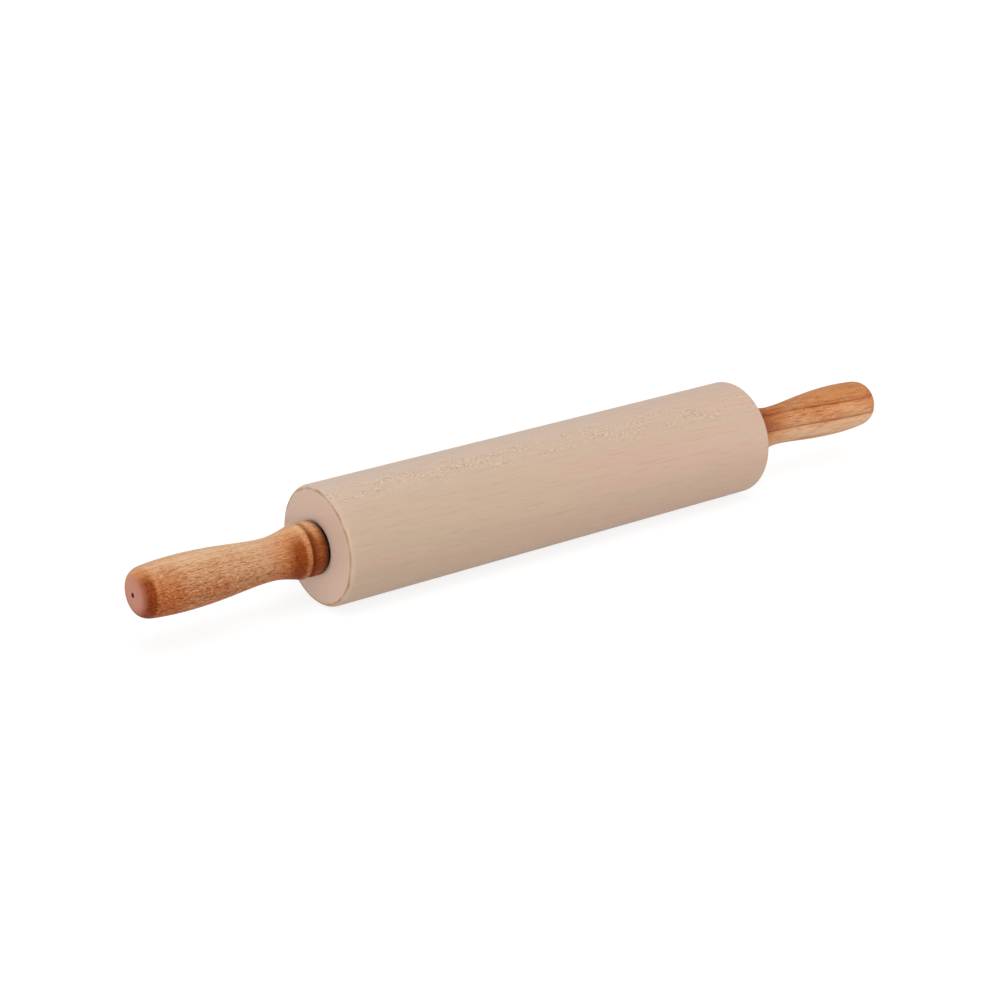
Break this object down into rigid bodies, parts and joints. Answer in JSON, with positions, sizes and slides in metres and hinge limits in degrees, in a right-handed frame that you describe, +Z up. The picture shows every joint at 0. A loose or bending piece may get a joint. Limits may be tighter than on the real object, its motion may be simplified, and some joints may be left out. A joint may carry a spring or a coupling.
{
  "type": "rolling pin",
  "caption": "Wooden rolling pin: a plain cylindrical barrel that spins on ball bearings around a steel rod, with a turned and stained handle fixed on each end of the rod.",
  "frame": {"origin": "middle of the barrel, on its axis", "axes": "+X along the axis from the left handle to the right one, +Z up, and the lowest facet of the barrel faces -Z"},
  "size_m": [0.4434, 0.057, 0.057],
  "materials": {
    "barrel_maple": "sanded pale maple, lightly oiled",
    "handle_hardwood": "stained and satin varnished hardwood",
    "rod_steel": "drawn bar",
    "bearing_steel": "ground and polished",
    "shield_steel": "pressed sheet",
    "cage_nylon": "moulded"
  },
  "bodies": {
    "handles_and_rod": {"axle_rod": "rod_steel", "left_handle": "handle_hardwood", "right_handle": "handle_hardwood", "left_spacer_washer": "rod_steel", "right_spacer_washer": "rod_steel", "left_bearing_inner_ring": "bearing_steel", "right_bearing_inner_ring": "bearing_steel"},
    "barrel": {"barrel": "barrel_maple", "left_bearing_outer_ring": "bearing_steel", "left_bearing_outer_shield": "shield_steel", "left_bearing_inner_shield": "shield_steel", "right_bearing_outer_ring": "bearing_steel", "right_bearing_outer_shield": "shield_steel", "right_bearing_inner_shield": "shield_steel"},
    "left_cage": {"left_bearing_cage": "cage_nylon"},
    "right_cage": {"right_bearing_cage": "cage_nylon"},
    "left_ball_1": {"left_bearing_ball_1": "bearing_steel"},
    "left_ball_2": {"left_bearing_ball_2": "bearing_steel"},
    "left_ball_3": {"left_bearing_ball_3": "bearing_steel"},
    "left_ball_4": {"left_bearing_ball_4": "bearing_steel"},
    "left_ball_5": {"left_bearing_ball_5": "bearing_steel"},
    "left_ball_6": {"left_bearing_ball_6": "bearing_steel"},
    "left_ball_7": {"left_bearing_ball_7": "bearing_steel"},
    "right_ball_1": {"right_bearing_ball_1": "bearing_steel"},
    "right_ball_2": {"right_bearing_ball_2": "bearing_steel"},
    "right_ball_3": {"right_bearing_ball_3": "bearing_steel"},
    "right_ball_4": {"right_bearing_ball_4": "bearing_steel"},
    "right_ball_5": {"right_bearing_ball_5": "bearing_steel"},
    "right_ball_6": {"right_bearing_ball_6": "bearing_steel"},
    "right_ball_7": {"right_bearing_ball_7": "bearing_steel"}
  },
  "joints": [
    {"name": "barrel_spin", "type": "hinge", "parent": "handles_and_rod", "child": "barrel", "pos_m": [0, 0, 0], "axis": [1, 0, 0], "continuous": true},
    {"name": "left_cage_turn", "type": "hinge", "parent": "handles_and_rod", "child": "left_cage", "pos_m": [-0.123, 0, 0], "axis": [1, 0, 0], "continuous": true},
    {"name": "right_cage_turn", "type": "hinge", "parent": "handles_and_rod", "child": "right_cage", "pos_m": [0.123, 0, 0], "axis": [1, 0, 0], "continuous": true},
    {"name": "left_ball_1_roll", "type": "hinge", "parent": "left_cage", "child": "left_ball_1", "pos_m": [-0.123, 0, 0.00749], "axis": [1, 0, 0], "continuous": true},
    {"name": "left_ball_2_roll", "type": "hinge", "parent": "left_cage", "child": "left_ball_2", "pos_m": [-0.123, -0.00586, 0.00467], "axis": [1, 0, 0], "continuous": true},
    {"name": "left_ball_3_roll", "type": "hinge", "parent": "left_cage", "child": "left_ball_3", "pos_m": [-0.123, -0.00731, -0.00167], "axis": [1, 0, 0], "continuous": true},
    {"name": "left_ball_4_roll", "type": "hinge", "parent": "left_cage", "child": "left_ball_4", "pos_m": [-0.123, -0.00325, -0.00675], "axis": [1, 0, 0], "continuous": true},
    {"name": "left_ball_5_roll", "type": "hinge", "parent": "left_cage", "child": "left_ball_5", "pos_m": [-0.123, 0.00325, -0.00675], "axis": [1, 0, 0], "continuous": true},
    {"name": "left_ball_6_roll", "type": "hinge", "parent": "left_cage", "child": "left_ball_6", "pos_m": [-0.123, 0.00731, -0.00167], "axis": [1, 0, 0], "continuous": true},
    {"name": "left_ball_7_roll", "type": "hinge", "parent": "left_cage", "child": "left_ball_7", "pos_m": [-0.123, 0.00586, 0.00467], "axis": [1, 0, 0], "continuous": true},
    {"name": "right_ball_1_roll", "type": "hinge", "parent": "right_cage", "child": "right_ball_1", "pos_m": [0.123, 0, 0.00749], "axis": [1, 0, 0], "continuous": true},
    {"name": "right_ball_2_roll", "type": "hinge", "parent": "right_cage", "child": "right_ball_2", "pos_m": [0.123, 0.00586, 0.00467], "axis": [1, 0, 0], "continuous": true},
    {"name": "right_ball_3_roll", "type": "hinge", "parent": "right_cage", "child": "right_ball_3", "pos_m": [0.123, 0.00731, -0.00167], "axis": [1, 0, 0], "continuous": true},
    {"name": "right_ball_4_roll", "type": "hinge", "parent": "right_cage", "child": "right_ball_4", "pos_m": [0.123, 0.00325, -0.00675], "axis": [1, 0, 0], "continuous": true},
    {"name": "right_ball_5_roll", "type": "hinge", "parent": "right_cage", "child": "right_ball_5", "pos_m": [0.123, -0.00325, -0.00675], "axis": [1, 0, 0], "continuous": true},
    {"name": "right_ball_6_roll", "type": "hinge", "parent": "right_cage", "child": "right_ball_6", "pos_m": [0.123, -0.00731, -0.00167], "axis": [1, 0, 0], "continuous": true},
    {"name": "right_ball_7_roll", "type": "hinge", "parent": "right_cage", "child": "right_ball_7", "pos_m": [0.123, -0.00586, 0.00467], "axis": [1, 0, 0], "continuous": true}
  ],
  "couplings": [
    {"joint": "left_cage_turn", "follows": "barrel_spin", "ratio": 0.6324},
    {"joint": "right_cage_turn", "follows": "barrel_spin", "ratio": 0.6324},
    {"joint": "left_ball_1_roll", "follows": "barrel_spin", "ratio": 1.7555},
    {"joint": "left_ball_2_roll", "follows": "barrel_spin", "ratio": 1.7555},
    {"joint": "left_ball_3_roll", "follows": "barrel_spin", "ratio": 1.7555},
    {"joint": "left_ball_4_roll", "follows": "barrel_spin", "ratio": 1.7555},
    {"joint": "left_ball_5_roll", "follows": "barrel_spin", "ratio": 1.7555},
    {"joint": "left_ball_6_roll", "follows": "barrel_spin", "ratio": 1.7555},
    {"joint": "left_ball_7_roll", "follows": "barrel_spin", "ratio": 1.7555},
    {"joint": "right_ball_1_roll", "follows": "barrel_spin", "ratio": 1.7555},
    {"joint": "right_ball_2_roll", "follows": "barrel_spin", "ratio": 1.7555},
    {"joint": "right_ball_3_roll", "follows": "barrel_spin", "ratio": 1.7555},
    {"joint": "right_ball_4_roll", "follows": "barrel_spin", "ratio": 1.7555},
    {"joint": "right_ball_5_roll", "follows": "barrel_spin", "ratio": 1.7555},
    {"joint": "right_ball_6_roll", "follows": "barrel_spin", "ratio": 1.7555},
    {"joint": "right_ball_7_roll", "follows": "barrel_spin", "ratio": 1.7555}
  ]
}
